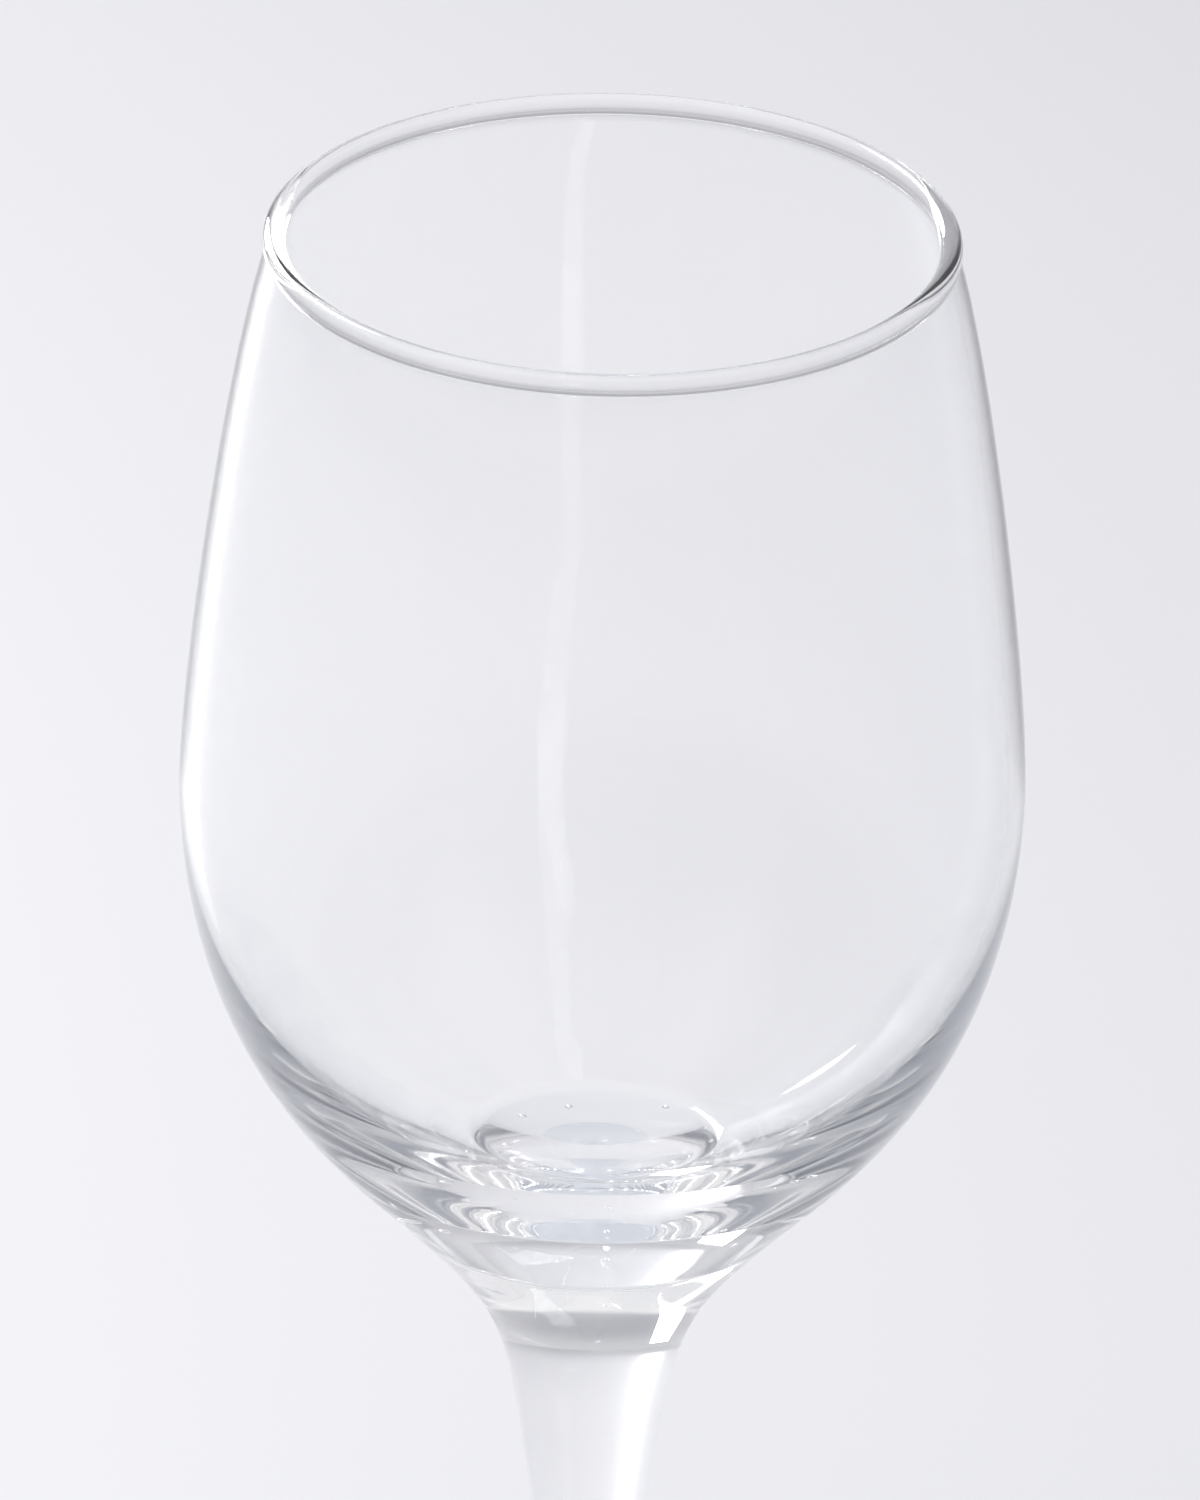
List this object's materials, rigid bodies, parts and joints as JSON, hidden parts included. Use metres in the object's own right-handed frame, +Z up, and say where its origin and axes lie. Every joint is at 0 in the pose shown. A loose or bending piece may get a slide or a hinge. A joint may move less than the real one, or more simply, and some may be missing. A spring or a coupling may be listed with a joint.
{
  "type": "wine glass",
  "caption": "Clear stemmed wine glass: tulip bowl with a rounded bead rim, solid stem that flares at both ends, and a flat round foot.",
  "frame": {"origin": "centre of the plane that the foot rests on", "axes": "+Z up along the stem, out of the bowl's mouth; the glass is round about Z"},
  "size_m": [0.0808, 0.0808, 0.203],
  "materials": {
    "bowl_glass": "clear soda-lime glass, blown, fire-polished rim",
    "stem_glass": "clear soda-lime glass, smooth",
    "foot_glass": "clear soda-lime glass, pressed, smooth"
  },
  "bodies": {
    "root": {"bowl": "bowl_glass", "stem": "stem_glass", "foot": "foot_glass"}
  },
  "joints": []
}
